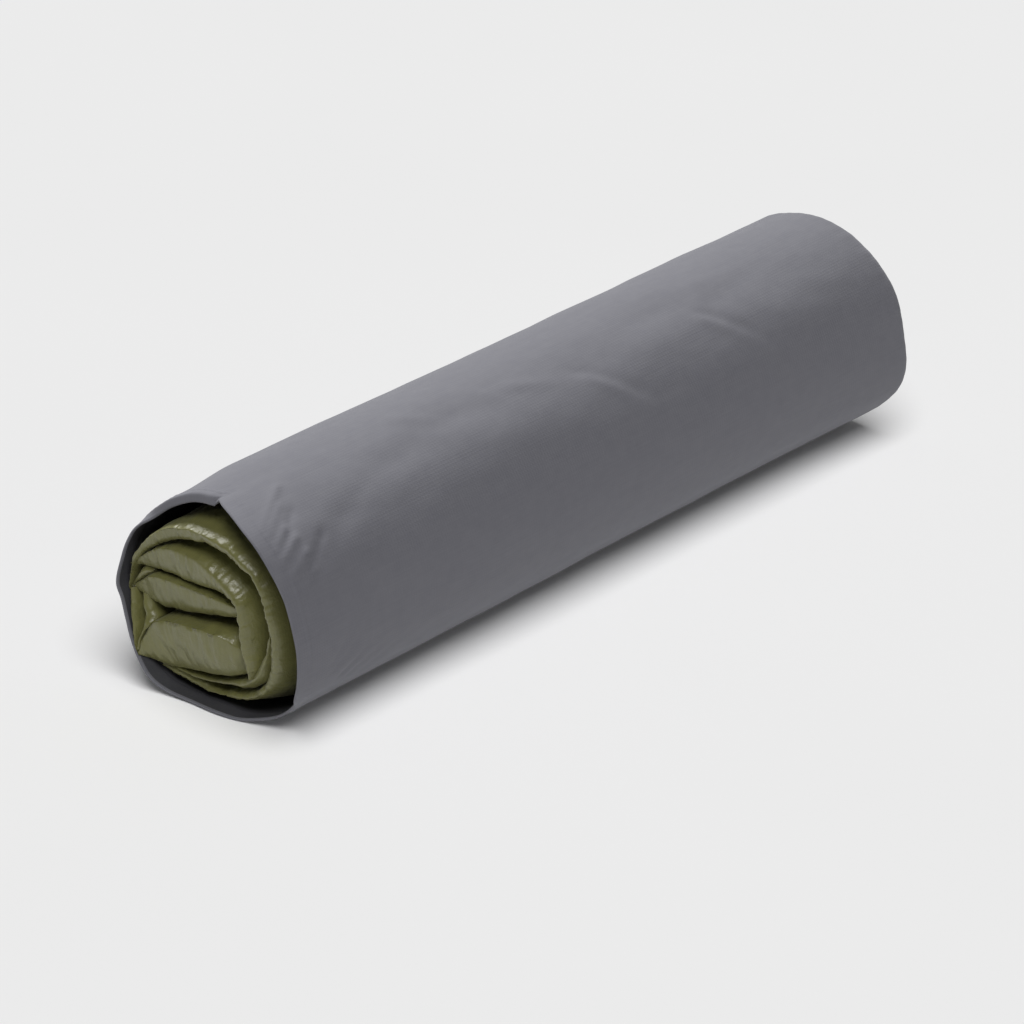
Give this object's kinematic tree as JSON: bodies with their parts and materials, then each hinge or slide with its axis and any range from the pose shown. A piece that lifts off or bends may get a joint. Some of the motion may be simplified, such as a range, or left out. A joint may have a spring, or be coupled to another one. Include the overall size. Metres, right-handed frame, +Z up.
{
  "type": "camp quilt",
  "caption": "Insulated camp quilt, folded and rolled tight in an open-mouthed cloth stuff sack; the roll pulls out of the sack's mouth along its length.",
  "frame": {"origin": "middle of the underside of the packed roll, on the ground under the centre of its box", "axes": "+X along the roll from the sack's open mouth to its sewn base, +Z up"},
  "size_m": [0.594, 0.1576, 0.1447],
  "materials": {
    "sack_cloth": "matt grey plain-woven polyester",
    "seam_tape": "matt dark grey folded seam tape",
    "quilt_nylon": "olive green nylon taffeta with a soft sheen",
    "quilt_wadding": "off-white polyester wadding",
    "quilt_lining": "olive green nylon lining"
  },
  "bodies": {
    "sack": {"sack_tube": "sack_cloth", "sack_mouth_hem": "sack_cloth", "sack_side_seam": "sack_cloth", "sack_base_panel": "sack_cloth", "sack_base_binding": "seam_tape"},
    "quilt": {"quilt_shell": "quilt_nylon", "quilt_fill": "quilt_wadding", "quilt_lining": "quilt_lining"}
  },
  "joints": [
    {"name": "quilt_pull_out", "type": "slide", "parent": "sack", "child": "quilt", "axis": [-1, 0, 0], "range_m": [0, 0.62]}
  ]
}
